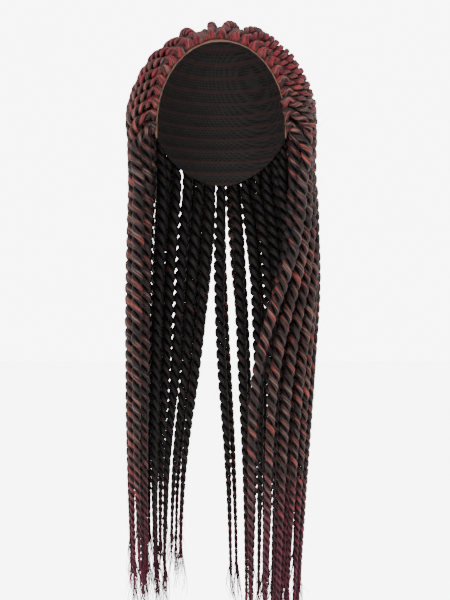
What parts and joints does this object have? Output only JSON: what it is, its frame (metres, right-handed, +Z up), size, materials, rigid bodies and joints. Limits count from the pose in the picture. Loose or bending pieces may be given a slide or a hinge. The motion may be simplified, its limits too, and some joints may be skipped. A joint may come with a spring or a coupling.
{
  "type": "braid wig",
  "caption": "Lace-front wig of long two-strand rope twists in black and burgundy, swept back from an open hairline and hanging past the shoulders.",
  "frame": {"origin": "top of the head hollow, where the crown of a head touches the inside of the cap", "axes": "+Z up, -Y out of the face opening, +X to the side of the fuller front bundle"},
  "size_m": [0.2146, 0.2178, 0.6427],
  "materials": {
    "cap_net": "matt stretch net",
    "lace_net": "sheer tan net",
    "front_hair": "satin fibre, burgundy at the roots and black along the length",
    "second_hair": "satin fibre, black with burgundy streaks",
    "nape_hair": "satin fibre, near black"
  },
  "bodies": {
    "root": {"cap": "cap_net", "lace_front": "lace_net", "twist_front_left_01": "front_hair", "twist_front_left_02": "front_hair", "twist_front_left_03": "front_hair", "twist_front_left_04": "front_hair", "twist_front_left_05": "front_hair", "twist_front_left_06": "front_hair", "twist_front_left_07": "front_hair", "twist_front_left_08": "front_hair", "twist_front_left_09": "front_hair", "twist_front_left_10": "front_hair", "twist_front_right_01": "front_hair", "twist_front_right_02": "front_hair", "twist_front_right_03": "front_hair", "twist_front_right_04": "front_hair", "twist_front_right_05": "front_hair", "twist_front_right_06": "front_hair", "twist_front_right_07": "front_hair", "twist_front_right_08": "front_hair", "twist_front_right_09": "front_hair", "twist_front_right_10": "front_hair", "twist_front_right_11": "front_hair", "twist_front_right_12": "front_hair", "twist_front_right_13": "front_hair", "twist_second_left_01": "second_hair", "twist_second_left_02": "second_hair", "twist_second_left_03": "second_hair", "twist_second_left_04": "second_hair", "twist_second_left_05": "second_hair", "twist_second_left_06": "second_hair", "twist_second_left_07": "second_hair", "twist_second_left_08": "second_hair", "twist_second_left_09": "second_hair", "twist_second_right_01": "second_hair", "twist_second_right_02": "second_hair", "twist_second_right_03": "second_hair", "twist_second_right_04": "second_hair", "twist_second_right_05": "second_hair", "twist_second_right_06": "second_hair", "twist_second_right_07": "second_hair", "twist_second_right_08": "second_hair", "twist_second_right_09": "second_hair", "twist_second_right_10": "second_hair", "twist_second_right_11": "second_hair", "twist_second_right_12": "second_hair", "twist_second_right_13": "second_hair", "twist_nape_left_01": "nape_hair", "twist_nape_left_02": "nape_hair", "twist_nape_left_03": "nape_hair", "twist_nape_left_04": "nape_hair", "twist_nape_left_05": "nape_hair", "twist_nape_left_06": "nape_hair", "twist_nape_right_01": "nape_hair", "twist_nape_right_02": "nape_hair", "twist_nape_right_03": "nape_hair", "twist_nape_right_04": "nape_hair", "twist_nape_right_05": "nape_hair", "twist_nape_right_06": "nape_hair", "twist_nape_right_07": "nape_hair"}
  },
  "joints": []
}
